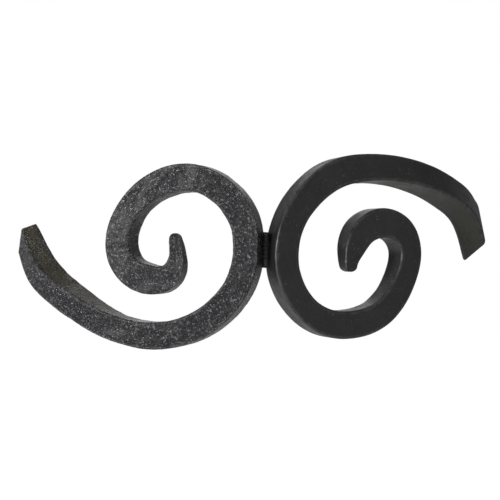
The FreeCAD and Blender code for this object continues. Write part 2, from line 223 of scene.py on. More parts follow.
@dataclass
class Piece:
    """A mesh object under construction, and what it says about itself to the frame."""

    name: str
    body: str
    slot: str
    replaces: tuple[str, ...]
    vertices: np.ndarray
    faces: list[np.ndarray]
    values: dict[str, np.ndarray] = field(default_factory=dict)

    def finish(self, material: bpy.types.Material) -> bpy.types.Object:
        """Make the mesh, turn its faces outwards, dress it and tie it to the frame.

        Args:
            material: The finish of the whole piece.

        Returns:
            The object in the scene.
        """
        mesh = bpy.data.meshes.new(self.name)
        faces = [face for block in self.faces for face in block.tolist()]
        mesh.from_pydata(self.vertices.tolist(), [], faces)
        for name, value in self.values.items():
            kind = "FLOAT_VECTOR" if value.ndim == 2 else "FLOAT"
            entry = "vector" if value.ndim == 2 else "value"
            layer = mesh.attributes.new(name, kind, "POINT")
            layer.data.foreach_set(entry, value.astype(np.float32).ravel())
        mesh.materials.append(material)
        mesh.shade_smooth()
        if signed_volume(mesh) < 0:
            mesh.flip_normals()
        mesh.update()
        piece = add_object(self.name, mesh)
        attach(piece, self.body)
        if self.replaces:
            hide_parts(*self.replaces)
        LOG.info("%s: %d points, finish %s", self.name, len(mesh.vertices), material.name)
        return piece


def signed_volume(mesh: bpy.types.Mesh) -> float:
    """Return the volume inside a closed mesh.

    Args:
        mesh: The mesh.

    Returns:
        The volume, negative where the faces point inwards.
    """
    mesh.calc_loop_triangles()
    points = np.empty(len(mesh.vertices) * 3, np.float32)
    mesh.vertices.foreach_get("co", points)
    corners = np.empty(len(mesh.loop_triangles) * 3, np.int32)
    mesh.loop_triangles.foreach_get("vertices", corners)
    triangles = points.reshape(-1, 3).astype(float)[corners.reshape(-1, 3)]
    return float(np.einsum("ij,ij->", triangles[:, 0], np.cross(triangles[:, 1], triangles[:, 2]))) / 6.0


def capped_tube(rings: np.ndarray) -> tuple[np.ndarray, list[np.ndarray]]:
    """Close a tube of rings with a point at the middle of each end ring.

    Args:
        rings: Points as an array of (rings, points around, 3).

    Returns:
        The points and the blocks of faces of the closed tube.
    """
    count, around = rings.shape[:2]
    last = count * around
    points = np.concatenate([rings.reshape(-1, 3), rings[:1].mean(axis=1), rings[-1:].mean(axis=1)])
    edge = np.arange(around)
    following = (edge + 1) % around
    start = np.stack([following, edge, np.full(around, last)], axis=-1)
    end = np.stack([edge + last - around, following + last - around, np.full(around, last + 1)], axis=-1)
    return points, [grid_faces(count, around, 0, False), start, end]


def with_poles(values: np.ndarray) -> np.ndarray:
    """Flatten values on rings and add the mean of each end ring, for the poles of a capped tube."""
    flat = values.reshape((-1,) + values.shape[2:])
    return np.concatenate([flat, values[:1].mean(axis=1), values[-1:].mean(axis=1)])


# ---- shader building ---------------------------------------------------------------------------

class Graph:
    """Shorthand for adding and linking nodes in one node tree."""

    def __init__(self, tree: bpy.types.NodeTree) -> None:
        """Start with the tree's present nodes."""
        self.tree = tree

    def put(self, value: object, target: bpy.types.NodeSocket) -> None:
        """Link a wire to an input, or set the input to a value.

        Args:
            value: The wire or value.
            target: The input.
        """
        if isinstance(value, Wire):
            self.tree.links.new(value.socket, target)
        else:
            target.default_value = value

    def node(self, kind: str, links: dict | None = None, **settings: object) -> bpy.types.Node:
        """Add a node.

        Args:
            kind: The node's type name.
            links: What goes into each input, by the input's name or number: a wire or a value.
            **settings: Properties to set on the node.

        Returns:
            The new node.
        """
        made = self.tree.nodes.new(kind)
        for name, value in settings.items():
            setattr(made, name, value)
        for name, value in (links or {}).items():
            self.put(value, made.inputs[name])
        return made

    def out(self, kind: str, links: dict | None = None, output: int | str = 0, **settings: object) -> "Wire":
        """Add a node and return the wire from one of its outputs."""
        return Wire(self, self.node(kind, links, **settings).outputs[output])

    def math(self, operation: str, *values: object) -> "Wire":
        """Return the result of a Math node on wires or numbers."""
        return self.out("ShaderNodeMath", dict(enumerate(values)), operation=operation)

    def noise(self, vector: "Wire", scale: object, detail: float, rough: float,
              output: str = "Fac") -> "Wire":
        """Return noise at a vector."""
        links = {"Vector": vector, "Scale": scale, "Detail": detail, "Roughness": rough}
        return self.out("ShaderNodeTexNoise", links, output)

    def between(self, value: "Wire", low: object, high: object,
                to_low: float = 0.0, to_high: float = 1.0) -> "Wire":
        """Return a value mapped smoothly and clamped from one range to another."""
        links = {0: value, 1: low, 2: high, 3: to_low, 4: to_high}
        return self.out("ShaderNodeMapRange", links, interpolation_type="SMOOTHSTEP")

    def mix(self, share: object, first: object, second: object) -> "Wire":
        """Return two colours mixed by a share."""
        return self.out("ShaderNodeMix", {0: share, 6: first, 7: second}, 2, data_type="RGBA")

    def attribute(self, name: str, output: str = "Fac") -> "Wire":
        """Return a value or vector stored on the mesh."""
        return self.out("ShaderNodeAttribute", None, output, attribute_name=name)


@dataclass(frozen=True)
class Wire:
    """The value of a socket, which takes part in sums as a number does."""

    graph: Graph
    socket: bpy.types.NodeSocket

    def __add__(self, other: object) -> "Wire":
        """Return the sum."""
        return self.graph.math("ADD", self, other)

    def __sub__(self, other: object) -> "Wire":
        """Return the difference."""
        return self.graph.math("SUBTRACT", self, other)

    def __rsub__(self, number: float) -> "Wire":
        """Return a number less this value."""
        return self.graph.math("SUBTRACT", number, self)

    def __mul__(self, other: object) -> "Wire":
        """Return the product."""
        return self.graph.math("MULTIPLY", self, other)

    def __truediv__(self, other: object) -> "Wire":
        """Return the quotient."""
        return self.graph.math("DIVIDE", self, other)

    def __rtruediv__(self, number: float) -> "Wire":
        """Return a number over this value."""
        return self.graph.math("DIVIDE", number, self)


class Socket(Enum):
    """Kinds of socket on a node group."""

    COLOUR = "NodeSocketColor"
    VALUE = "NodeSocketFloat"
    VECTOR = "NodeSocketVector"


class Group(Graph):
    """A node group under construction, which gives its inputs by name."""

    def __init__(self, name: str, values: Sequence[str], colours: Sequence[str] = ()) -> None:
        """Make a group that takes a vector, some values and some colours.

        Args:
            name: Name of the group.
            values: Names of the inputs that are numbers.
            colours: Names of the inputs that are colours.
        """
        super().__init__(bpy.data.node_groups.new(name, "ShaderNodeTree"))
        kinds = {"Vector": Socket.VECTOR, **dict.fromkeys(values, Socket.VALUE)}
        for label, kind in (kinds | dict.fromkeys(colours, Socket.COLOUR)).items():
            self.tree.interface.new_socket(label, in_out="INPUT", socket_type=kind.value)
        self.entry = self.node("NodeGroupInput")

    def __getitem__(self, label: str) -> Wire:
        """Return one of the group's inputs."""
        return Wire(self, self.entry.outputs[label])

    def close(self, **results: Wire) -> bpy.types.NodeTree:
        """Finish the group.

        Args:
            **results: The wires that leave the group, by the names of its outputs.

        Returns:
            The finished group.
        """
        for label, wire in results.items():
            kind = Socket.COLOUR if wire.socket.type == "RGBA" else Socket.VALUE
            self.tree.interface.new_socket(label, in_out="OUTPUT", socket_type=kind.value)
        self.node("NodeGroupOutput", results)
        return self.tree


class Effects:
    """The shader effects that several finishes share, each built once as a node group."""

    def __init__(self) -> None:
        """Build every group."""
        self.scale = self._scale_and_glints()
        self.grain = self._hammer_grain()
        self.burnish = self._burnish()
        self.scratches = self._scratches()
        self.lathe = self._lathe_marks()

    @staticmethod
    def _scale_and_glints() -> bpy.types.NodeTree:
        """Make patches of lighter and darker scale, and fine bright flecks painted in as glints, for
        blackened iron.

        The patch mask is slow noise over medium noise; a painted glint is where fine noise passes a limit.

        Returns:
            The group.
        """
        group = Group("scale_and_glints", ("Patch Size", "Fleck Share"), ("Dark", "Light", "Fleck"))
        place, rate = group["Vector"], 1.0 / group["Patch Size"]
        slow = group.noise(place, rate, 4.0, 0.6)
        medium = group.noise(place, rate * 6.0, 3.0, 0.6)
        patch = group.between(slow * 0.6 + medium * 0.4, 0.38, 0.62)
        # painted glints: bright flecks mixed into the colour where fine noise passes a limit, standing in for
        # light caught on the pits
        fine = group.noise(place, rate * 9.0, 2.0, 0.5)
        limit = 0.78 - group["Fleck Share"] * 0.3
        glints = group.between(fine, limit, limit + 0.06)
        base = group.mix(patch, group["Dark"], group["Light"])
        return group.close(Colour=group.mix(glints, base, group["Fleck"]), Patch=patch, Flecks=glints)

    @staticmethod
    def _hammer_grain() -> bpy.types.NodeTree:
        """Make the height of forged iron's skin: soft pits, craters of lost scale, and fine grain.

        Pits come from noise, craters from the distance to scattered points, inverted and clipped.

        Returns:
            The group.
        """
        group = Group("hammer_grain", ("Pit Size", "Craters", "Grain"))
        place, rate = group["Vector"], 1.0 / group["Pit Size"]
        pits = group.noise(place, rate, 3.0, 0.55)
        wobble = group.noise(place, rate, 2.0, 0.5, "Color")
        shift = group.out("ShaderNodeVectorMath", {0: wobble, 1: (0.6 * MM,) * 3}, operation="MULTIPLY")
        moved = group.out("ShaderNodeVectorMath", {0: place, 1: shift}, operation="ADD")
        spots = group.out("ShaderNodeTexVoronoi", {"Vector": moved, "Scale": rate}, "Distance", feature="F1")
        crater = group.between(spots, 0.12, 0.42, 1.0, 0.0)
        fine = group.noise(place, rate * 4.0, 3.0, 0.6)
        return group.close(Height=pits - crater * group["Craters"] + fine * group["Grain"])

    @staticmethod
    def _burnish() -> bpy.types.NodeTree:
        """Make the mask of an arris rubbed bright: the stored nearness, broken up by noise.

        Returns:
            The group.
        """
        group = Group("burnish", ("Arris", "Break Size", "Amount"))
        patches = group.noise(group["Vector"], 1.0 / group["Break Size"], 4.0, 0.65)
        mask = group.between(group["Arris"] + (patches - 0.5) * 1.6, 0.72, 1.15)
        return group.close(Mask=mask * group["Amount"])

    @staticmethod
    def _scratches() -> bpy.types.NodeTree:
        """Make the mask of short scuffs: stretched noise clipped to streaks, in scattered patches.

        Returns:
            The group.
        """
        group = Group("scratches", ("Spacing", "Share"))
        place, rate = group["Vector"], 1.0 / group["Spacing"]
        turned = group.out("ShaderNodeMapping", {
            "Vector": place, "Rotation": (0.3, 0.5, 0.9), "Scale": (0.12, 1.0, 1.0)})
        streak = group.noise(turned, rate, 2.0, 0.5)
        thin = group.between(group.math("ABSOLUTE", streak - 0.5), 0.004, 0.016, 1.0, 0.0)
        where = group.noise(place, rate * 0.35, 2.0, 0.5)
        limit = 0.75 - group["Share"] * 0.3
        return group.close(Mask=thin * group.between(where, limit, limit + 0.08))

    @staticmethod
    def _lathe_marks() -> bpy.types.NodeTree:
        """Make the height and tone of turning marks: uneven rings along and across the pivot.

        The rings follow the sum of the distance along the pivot and the radius from it.

        Returns:
            The group.
        """
        group = Group("lathe_marks", ("Spacing", "Unevenness"))
        parts = group.node("ShaderNodeSeparateXYZ", {0: group["Vector"]})
        x, y, z = (Wire(group, socket) for socket in parts.outputs)
        ring = y + group.math("SQRT", x * x + z * z)
        tool = group.noise(group.out("ShaderNodeCombineXYZ", {0: ring / group["Spacing"]}), 1.0, 2.0, 0.6)
        smear = group.noise(group["Vector"], 260.0, 3.0, 0.6)
        return group.close(Height=tool + smear * group["Unevenness"], Tone=group.between(smear, 0.35, 0.65))


# ---- finishes ----------------------------------------------------------------------------------

Colour = tuple[float, float, float, float]
METAL_SPECULAR = 0.5


def grey(level: float, warmth: float = 0.0) -> Colour:
    """Return a linear grey, warmer where warmth is above zero and cooler below."""
    return (level * (1 + warmth), level, level * (1 - 1.6 * warmth), 1.0)


class Skin(Graph):
    """What every finish shares: the graph of a material with one Principled shader."""

    def __init__(self, name: str, **constants: float) -> None:
        """Make the material.

        Args:
            name: Name of the material.
            **constants: Shader inputs that are the same all over, with spaces as underscores.
        """
        self.material = bpy.data.materials.new(name)
        self.material.use_nodes = True
        super().__init__(self.material.node_tree)
        self.shader = next(node for node in self.tree.nodes if node.type == "BSDF_PRINCIPLED")
        self.feed(**constants)

    def feed(self, **inputs: object) -> None:
        """Give the shader wires or values, by input name with spaces as underscores."""
        for label, value in inputs.items():
            self.put(value, self.shader.inputs[label.replace("_", " ")])

    def effect(self, group: bpy.types.NodeTree, **inputs: object) -> list[Wire]:
        """Place a shared effect with its own inputs, named as in feed, and return its outputs."""
        links = {label.replace("_", " "): value for label, value in inputs.items()}
        return [Wire(self, socket) for socket in self.node("ShaderNodeGroup", links, node_tree=group).outputs]

    def bump(self, height: Wire, depth_mm: float, strength: float = 1.0, under: Wire | None = None) -> Wire:
        """Return a normal bent by a height field of a depth in millimetres, over another normal."""
        links = {"Height": height, "Distance": depth_mm * MM, "Strength": strength}
        return self.out("ShaderNodeBump", links | ({"Normal": under} if under else {}))


@dataclass(frozen=True)
class ForgedIron:
    """Oil-blackened forged bar: scale patches, bright flecks painted in as glints, pitted skin, scuffs and
    rubbed arrises.
    """

    name: str
    dark: Colour
    light: Colour
    glint: Colour
    glint_share: float
    patch_mm: float
    pit_mm: float
    pit_depth_mm: float
    craters: float
    grain: float
    roughness: tuple[float, float]
    burnish: float
    scuffs: float
    rust: Colour
    bare_metal: Colour = grey(0.21, 0.02)
    rub_mm: float = 2.6
    scuff_mm: float = 2.2
    scuff_depth_mm: float = -0.02

    def material(self, effects: Effects) -> bpy.types.Material:
        """Build the finish, which reads its patterns in the straightened bar's own coordinates.

        Args:
            effects: The shared node groups.

        Returns:
            The material.
        """
        skin = Skin(self.name, Specular_IOR_Level=0.45, Coat_Weight=0.08, Coat_Roughness=0.28)
        bar = skin.attribute("bar", "Vector")
        # the colour carries painted glints: bright flecks standing in for the key light caught on the pitted
        # skin, which also lower the roughness and add some metal
        colour, patch, glints = skin.effect(
            effects.scale, Vector=bar, Patch_Size=self.patch_mm * MM, Fleck_Share=self.glint_share,
            Dark=self.dark, Light=self.light, Fleck=self.glint)
        worn, = skin.effect(effects.burnish, Vector=bar, Arris=skin.attribute("arris"),
                            Break_Size=self.rub_mm * MM, Amount=self.burnish)
        scuff, = skin.effect(effects.scratches, Vector=bar, Spacing=self.scuff_mm * MM, Share=self.scuffs)
        height, = skin.effect(effects.grain, Vector=bar, Pit_Size=self.pit_mm * MM,
                              Craters=self.craters, Grain=self.grain)
        bare = skin.math("MAXIMUM", worn, scuff * 0.6)
        rusted = skin.mix(skin.attribute("olive"), colour, self.rust)
        dull = skin.between(patch, 0.0, 1.0, self.roughness[1], self.roughness[0])
        pitted = skin.bump(height, self.pit_depth_mm)
        skin.feed(Base_Color=skin.mix(bare, rusted, self.bare_metal),
                  Roughness=dull - bare * 0.10 - glints * 0.08,
                  Metallic=skin.math("MAXIMUM", bare, glints * 0.5) * 0.65,
                  Normal=skin.bump(scuff, self.scuff_depth_mm, 0.6, pitted))
        return skin.material


@dataclass(frozen=True)
class BlackenedWeld:
    """Weld metal under the same black: glassy ripples with dull soot between them."""

    name: str
    patch_mm: float = 3.0
    pit_mm: float = 0.9
    pit_depth_mm: float = 0.06

    def material(self, effects: Effects) -> bpy.types.Material:
        """Build the finish.

        Args:
            effects: The shared node groups.

        Returns:
            The material.
        """
        skin = Skin(self.name, Specular_IOR_Level=METAL_SPECULAR)
        place = skin.out("ShaderNodeTexCoord", output="Object")
        # painted glints here too: bright grey flecks in the weld's colour, with some metal where they fall
        colour, patch, glints = skin.effect(
            effects.scale, Vector=place, Patch_Size=self.patch_mm * MM, Fleck_Share=0.2,
            Dark=grey(0.008), Light=grey(0.020, 0.04), Fleck=grey(0.10))
        height, = skin.effect(effects.grain, Vector=place, Pit_Size=self.pit_mm * MM, Craters=0.5, Grain=0.4)
        skin.feed(Base_Color=colour, Roughness=skin.between(patch, 0.0, 1.0, 0.62, 0.36),
                  Metallic=glints * 0.7, Normal=skin.bump(height, self.pit_depth_mm))
        return skin.material


@dataclass(frozen=True)
class TurnedMetal:
    """Metal off the lathe: fine rings, a stained surface and brighter worn edges."""

    name: str
    dark: Colour
    light: Colour
    roughness: tuple[float, float]
    metallic: float
    ring_mm: float
    ring_depth_mm: float
    stain: Colour
    patch_mm: float = 4.0
    rub_mm: float = 2.0

    def material(self, effects: Effects) -> bpy.types.Material:
        """Build the finish.

        Args:
            effects: The shared node groups.

        Returns:
            The material.
        """
        skin = Skin(self.name, Specular_IOR_Level=METAL_SPECULAR)
        place = skin.out("ShaderNodeTexCoord", output="Object")
        height, tone = skin.effect(effects.lathe, Vector=place, Spacing=self.ring_mm * MM, Unevenness=0.5)
        patch = skin.effect(effects.scale, Vector=place, Patch_Size=self.patch_mm * MM)[1]
        worn, = skin.effect(effects.burnish, Vector=place, Arris=skin.attribute("arris"),
                            Break_Size=self.rub_mm * MM, Amount=0.7)
        stained = patch * 0.45
        base = skin.mix(stained, skin.mix(tone, self.dark, self.light), self.stain)
        skin.feed(Base_Color=skin.mix(worn, base, self.light),
                  Roughness=skin.between(patch, 0.0, 1.0, *self.roughness),
                  Metallic=(1.0 - stained) * self.metallic,
                  Normal=skin.bump(height, self.ring_depth_mm))
        return skin.material


# ---- forged scrolls ----------------------------------------------------------------------------

@dataclass(frozen=True)
class DogPlan:
    """Sizes in millimetres that the whole dog shares with its CAD model."""

    bar: float = 10.0
    arris: float = 1.0
    tilt: float = math.radians(20.0)
    bend_start: float = 55.0
    bend_radius: float = 110.0
    shutter_gap: float = 33.0
    reach: float = 103.2
    nose: float = 1.6
    rake_length: float = 16.0

    @property
    def pivot_offset(self) -> float:
        """Distance from the pivot to each loop's centre line, with the bars' back corners together."""
        return self.bar / 2 + self.bar * math.tan(self.tilt)

    def angle(self, reach: np.ndarray) -> np.ndarray:
        """Angle by which the sheet of the bars lies back at a flat distance from the pivot."""
        return self.tilt + np.maximum(reach - self.bend_start, 0.0) / self.bend_radius

    def wrap(self, reach: np.ndarray) -> tuple[np.ndarray, np.ndarray]:
        """Wrap the flat sheet: straight at the tilt up to the bend's start, then along an arc.

        Args:
            reach: Flat distances from the pivot.

        Returns:
            The distances from the pivot and the depths behind the apex.
        """
        flat = np.minimum(reach, self.bend_start)
        angle = self.angle(reach)
        across = flat * math.cos(self.tilt) + self.bend_radius * (np.sin(angle) - math.sin(self.tilt))
        depth = flat * math.sin(self.tilt) + self.bend_radius * (math.cos(self.tilt) - np.cos(angle))
        return across, depth

    @property
    def apex(self) -> float:
        """Y of the line where the two front faces would meet."""
        tail = np.array(self.pivot_offset + self.reach)
        return -float(self.shutter_gap + self.wrap(tail)[1] + self.bar * np.cos(self.angle(tail)))

    @property
    def cope(self) -> float:
        """Y of the bottom of the groove behind the two bars."""
        return self.apex + self.bar / math.cos(self.tilt)


PLAN = DogPlan()


@dataclass(frozen=True)
class HammerWork:
    """How heavily a bar was worked: dishes left by blows, skin roughness and uneven arrises."""

    blows_per_face: int
    dish_depth_mm: tuple[float, float]
    hammer_radius_mm: float
    skin_mm: float
    skin_cell_mm: float
    waver_mm: float
    arris_waver: float
    seed: int
    off_middle_mm: float = 4.5
    lean: tuple[float, float] = (0.8, 1.5)
    waver_cell_mm: float = 14.0
    face_gap_mm: float = 40.0
    fine_share: float = 0.6
    fine_cell: float = 0.55

    def relief(self, along: np.ndarray, across: np.ndarray, face: np.ndarray, length: float) -> np.ndarray:
        """Return the height of a worked surface in millimetres.

        Each blow leaves a dish whose height is its depth below the surface plus the squared
        distance from its middle over twice the hammer's radius. The relief is the lowest dish at
        each place, never above zero, plus slow waver and two sizes of skin noise.

        Args:
            along: Distance along the bar of each point.
            across: Distance round the bar of each point, from the middle of its face.
            face: Number of the face that each point lies on.
            length: Length of the bar.

        Returns:
            The height at each point.
        """
        chance = np.random.default_rng(self.seed)
        dishes = np.zeros_like(along)
        for side in range(4):
            here = face == side
            u, v = along[here], across[here]
            low = np.zeros_like(u)
            for _ in range(self.blows_per_face):
                middle = chance.uniform(0, length)
                offset = chance.uniform(-self.off_middle_mm, self.off_middle_mm)
                depth = chance.uniform(*self.dish_depth_mm)
                squares = ((u - middle) / chance.uniform(*self.lean)) ** 2 + (v - offset) ** 2
                low = np.minimum(low, squares / (2 * self.hammer_radius_mm) - depth)
            dishes[here] = low
        across = across + self.face_gap_mm * face
        waver = lattice_noise(along, across, self.waver_cell_mm, self.seed + 1) * self.waver_mm
        skin = lattice_noise(along, across, self.skin_cell_mm, self.seed + 2)
        skin += self.fine_share * lattice_noise(
            along, across, self.fine_cell * self.skin_cell_mm, self.seed + 3)
        return dishes + waver + self.skin_mm * skin


@dataclass
class ForgedScroll:
    """One square bar bent into a scroll, with hammer dishes, uneven arrises and closed ends.

    The pattern's rows run from the curled tip to the tail: distance outwards from the loop's centre
    line at the pivot, height, width and depth in bars, and roll in degrees.
    """

    name: str
    node: str
    slot: str
    side: int
    pattern: Sequence[tuple[float, float, float, float, float]]
    rake: tuple[float, float, float]
    work: HammerWork
    finish: ForgedIron
    rings: int = 690
    flat_steps: int = 22
    corner_steps: int = 6
    end_softness_mm: float = 0.5
    calm_end_mm: float = 1.5
    nose_taper: float = 0.45
    direction_step_mm: float = 0.05
    arris_cell_mm: float = 7.0
    arris_fade: float = 8.0
    corner_gap_mm: float = 9.0
    least_relief: float = 0.25
    least_core_mm: float = 0.1
    olive_from: float = 0.60
    olive_over: float = 0.12
    olive_most: float = 0.85

    def __post_init__(self) -> None:
        """Split the pattern into its line and its sizes, and measure along it."""
        rows = np.array(self.pattern, float)
        self.line = rows[:, :2] + np.array([PLAN.pivot_offset, 0.0])
        self.sizes = rows[:, 2:]
        self.knots = distance_along(self.line)
        self.length = float(self.knots[-1])

    def centre_line(self, at: np.ndarray) -> tuple[np.ndarray, np.ndarray]:
        """Return the front face's centre line.

        Args:
            at: Distances along the bar.

        Returns:
            The points, and the flat reach of each, in millimetres.
        """
        flat = natural_spline(self.knots, self.line, at)
        across, depth = PLAN.wrap(flat[:, 0])
        return np.stack([self.side * across, PLAN.apex + depth, flat[:, 1]], axis=-1), flat[:, 0]

    def frames(self, at: np.ndarray) -> tuple[np.ndarray, np.ndarray, np.ndarray, np.ndarray]:
        """Return the directions of the section at places along the bar.

        The front direction is square to the tilted or bent sheet, squared to the bar, and rolled.

        Args:
            at: Distances along the bar.

        Returns:
            The point, forward, inward width and front directions at each.
        """
        point, reach = self.centre_line(at)
        ahead = self.centre_line(np.minimum(at + self.direction_step_mm, self.length))[0]
        behind = self.centre_line(np.maximum(at - self.direction_step_mm, 0.0))[0]
        forward = unit(ahead - behind)
        angle = PLAN.angle(reach)
        front = np.stack([self.side * np.sin(angle), -np.cos(angle), np.zeros_like(angle)], axis=-1)
        front = unit(front - forward * np.sum(front * forward, axis=-1, keepdims=True))
        width = np.cross(forward, front)
        roll = np.radians(eased(self.knots, self.sizes, at)[:, 2:])
        return (point, forward, width * np.cos(roll) + front * np.sin(roll),
                front * np.cos(roll) - width * np.sin(roll))

    def ring_plan(self) -> dict[str, np.ndarray]:
        """Plan how the points of a ring go round the bar, an arc and then a flat in each quarter.

        A point lies a share of the way from one corner's arc to the next, and the share is zero on
        the arc itself.

        Returns:
            The signs u, v of both corners, the share, the outward angle, face and nearness to an
            arris, each as one row.
        """
        corners = np.array([(1, 1), (-1, 1), (-1, -1), (1, -1)], float)
        quarter = np.arange(4)[:, None]
        arc = np.arange(self.corner_steps + 1) / self.corner_steps
        flat = np.arange(1, self.flat_steps) / self.flat_steps
        share = np.concatenate([0 * arc, flat]) + 0 * quarter
        here = corners[quarter + np.zeros_like(share, int)]
        following = corners[(quarter + 1 + np.zeros_like(share, int)) % 4]
        plan = {
            "u0": here[..., 0], "v0": here[..., 1], "u1": following[..., 0], "v1": following[..., 1],
            "share": share, "angle": np.radians(90.0 * (np.concatenate([arc, 1 + 0 * flat]) + quarter)),
            "face": (np.concatenate([arc > 0.5, 1 + 0 * flat]) + quarter) % 4,
            "arris": np.maximum(0.0, 1.0 - self.arris_fade * np.minimum(share, 1 - share)),
        }
        return {key: value.reshape(1, -1) for key, value in plan.items()}

    def stations(self) -> tuple[np.ndarray, np.ndarray, np.ndarray]:
        """Place the rings: evenly along the bar, and closing over each end.

        At each end the rings shrink along a quarter circle and then flat to a point.

        Returns:
            The rings' distances along the bar, their insets, and the spread of each ring's points.
        """
        soft = self.end_softness_mm
        turn = np.radians(np.arange(90.0, 0.0, -18.0))
        closing = np.array([0.25, 0.55, 0.8])
        start = np.concatenate([0 * closing, soft * (1 - np.sin(turn))])
        body = np.linspace(soft, self.length - soft, self.rings)
        at = np.concatenate([start, body, self.length - start[::-1]])
        round_in = np.concatenate([soft + 0 * closing, soft * (1 - np.cos(turn))])
        inset = np.concatenate([round_in, np.zeros(self.rings), round_in[::-1]])
        inset = np.where(np.isclose(at, 0.0) | np.isclose(at, self.length), soft, inset)
        spread = np.concatenate([closing, np.ones(self.rings + 2 * len(turn)), closing[::-1]])
        return at, inset[:, None], spread[:, None]

    def build(self) -> Piece:
        """Work out the whole skin of the bar.

        A ring's point is the section's centre plus its offsets across and up the bar, leaning
        along the bar near the raked end, plus the relief along the section's outward direction.

        Returns:
            The piece, ready for its finish.
        """
        at, inset, spread = self.stations()
        point, forward, width, front = self.frames(at)
        size = eased(self.knots, self.sizes, at)
        taper = 1.0 - self.nose_taper * (1.0 - np.minimum(1.0, at / PLAN.nose)) ** 2
        full_depth = 0.5 * PLAN.bar * size[:, 1]
        centre = point - front * full_depth[:, None]
        half_width = (0.5 * PLAN.bar * size[:, 0] * taper)[:, None]
        half_depth = (full_depth * taper)[:, None]
        plan = self.ring_plan()
        side_by_side = self.corner_gap_mm * (plan["u0"] + 2.0 * plan["v0"])
        waver = 1.0 + self.work.arris_waver * lattice_noise(
            at[:, None] + 0 * side_by_side, side_by_side, self.arris_cell_mm, self.work.seed + 5)
        thin = np.minimum(1.0, np.minimum(2 * half_width, 2 * half_depth) / PLAN.bar)
        radius = PLAN.arris * thin * waver

        outward_u, outward_v = np.cos(plan["angle"]), np.sin(plan["angle"])
        start_u = plan["u0"] * (half_width - radius) + radius * outward_u
        start_v = plan["v0"] * (half_depth - radius) + radius * outward_v
        end_u = plan["u1"] * (half_width - radius) + radius * outward_u
        end_v = plan["v1"] * (half_depth - radius) + radius * outward_v
        offset_u = start_u + plan["share"] * (end_u - start_u)
        offset_v = start_v + plan["share"] * (end_v - start_v)

        across = np.where(plan["face"] % 2 == 0, offset_v, offset_u)
        along = at[:, None] + 0 * across
        relief = self.work.relief(along, across, plan["face"] + 0 * along, self.length)
        relief *= np.clip(2.2 * thin - 0.2, self.least_relief, 1.0)
        relief *= smooth_step(np.minimum(along, self.length - along) / self.calm_end_mm)
        offset_u += relief * outward_u
        offset_v += relief * outward_v

        least = inset + self.least_core_mm
        offset_u *= spread * (1.0 - inset / np.maximum(half_width, least))
        offset_v *= spread * (1.0 - inset / np.maximum(half_depth, least))
        lean = smooth_step(1.0 - (self.length - along) / PLAN.rake_length)
        slip = -lean * (offset_u * self.rake[1] + offset_v * self.rake[2]) / self.rake[0]
        rings = centre[:, None] + width[:, None] * offset_u[..., None]
        rings += front[:, None] * offset_v[..., None] + forward[:, None] * slip[..., None]

        tail = smooth_step((along / self.length - self.olive_from) / self.olive_over)
        olive = self.olive_most * (plan["face"] == 0) * tail * (1.0 - plan["arris"])
        values = {
            "bar": with_poles(np.stack([along, offset_u, offset_v], axis=-1) * MM),
            "arris": with_poles(plan["arris"] + 0 * along),
            "olive": with_poles(olive),
        }
        points, faces = capped_tube(rings * MM)
        return Piece(self.name, "dog", self.slot, (self.node,), points, faces, values)


LEFT_PATTERN = (
    (28.4, 6.4, 0.34, 0.36, 0), (27.9, 2.4, 0.48, 0.44, 0), (27.4, -2.0, 0.58, 0.50, 0),
    (28.6, -7.4, 0.80, 0.64, 0), (32.9, -11.0, 1.02, 0.86, 0), (39.4, -11.3, 1.14, 1.00, 0),
    (46.9, -8.0, 1.10, 1.00, 0), (51.4, -0.6, 1.04, 1.00, 0), (50.9, 8.0, 1.00, 1.00, 0),
    (46.6, 16.2, 0.98, 1.00, 0), (39.4, 22.8, 1.02, 1.00, 0), (29.6, 26.9, 1.08, 1.00, 0),
    (18.3, 26.8, 1.06, 1.00, 0), (8.3, 20.9, 1.06, 1.00, 0), (1.6, 11.4, 1.04, 1.00, 0),
    (0.0, 0.6, 1.02, 1.00, 0), (2.2, -10.6, 1.02, 1.00, 0), (9.8, -21.8, 1.06, 1.00, 0),
    (21.6, -29.7, 1.08, 1.00, 0), (36.2, -32.8, 1.04, 1.00, 0), (49.7, -31.3, 1.02, 1.00, 0),
    (62.4, -27.1, 0.99, 1.08, 2), (74.9, -21.2, 0.99, 1.14, 6), (88.0, -14.4, 1.00, 1.14, 10),
    (98.0, -5.7, 0.98, 1.04, 12), (103.2, 4.6, 0.90, 0.70, 12),
)
RIGHT_PATTERN = (
    (26.9, -8.4, 0.44, 0.50, 0), (27.2, -4.6, 0.58, 0.66, 0), (28.9, 0.6, 0.86, 0.86, 0),
    (32.8, 6.8, 1.06, 1.00, 0), (39.2, 10.3, 1.16, 1.00, 0), (45.8, 10.0, 1.12, 1.00, 0),
    (51.4, 6.4, 1.06, 1.00, 0), (54.2, 0.0, 0.98, 1.00, 0), (52.8, -8.4, 0.96, 1.00, 0),
    (47.5, -18.0, 1.00, 1.00, 0), (39.8, -25.2, 1.04, 1.00, 0), (29.4, -28.5, 1.08, 1.00, 0),
    (17.5, -27.8, 1.04, 1.00, 0), (7.8, -21.9, 0.98, 1.00, 0), (1.3, -11.8, 1.00, 1.00, 0),
    (-0.2, 0.6, 0.98, 1.00, 0), (3.2, 12.0, 1.02, 1.00, 0), (11.0, 22.2, 1.08, 1.00, 0),
    (22.5, 29.5, 1.12, 1.00, 0), (36.6, 32.1, 1.06, 1.00, 4), (50.9, 31.6, 1.03, 1.00, 10),
    (64.9, 29.1, 1.02, 1.04, 16), (79.3, 24.7, 1.04, 1.08, 22), (92.6, 17.4, 1.14, 1.10, 26),
    (99.4, 7.4, 1.18, 1.08, 26),
)
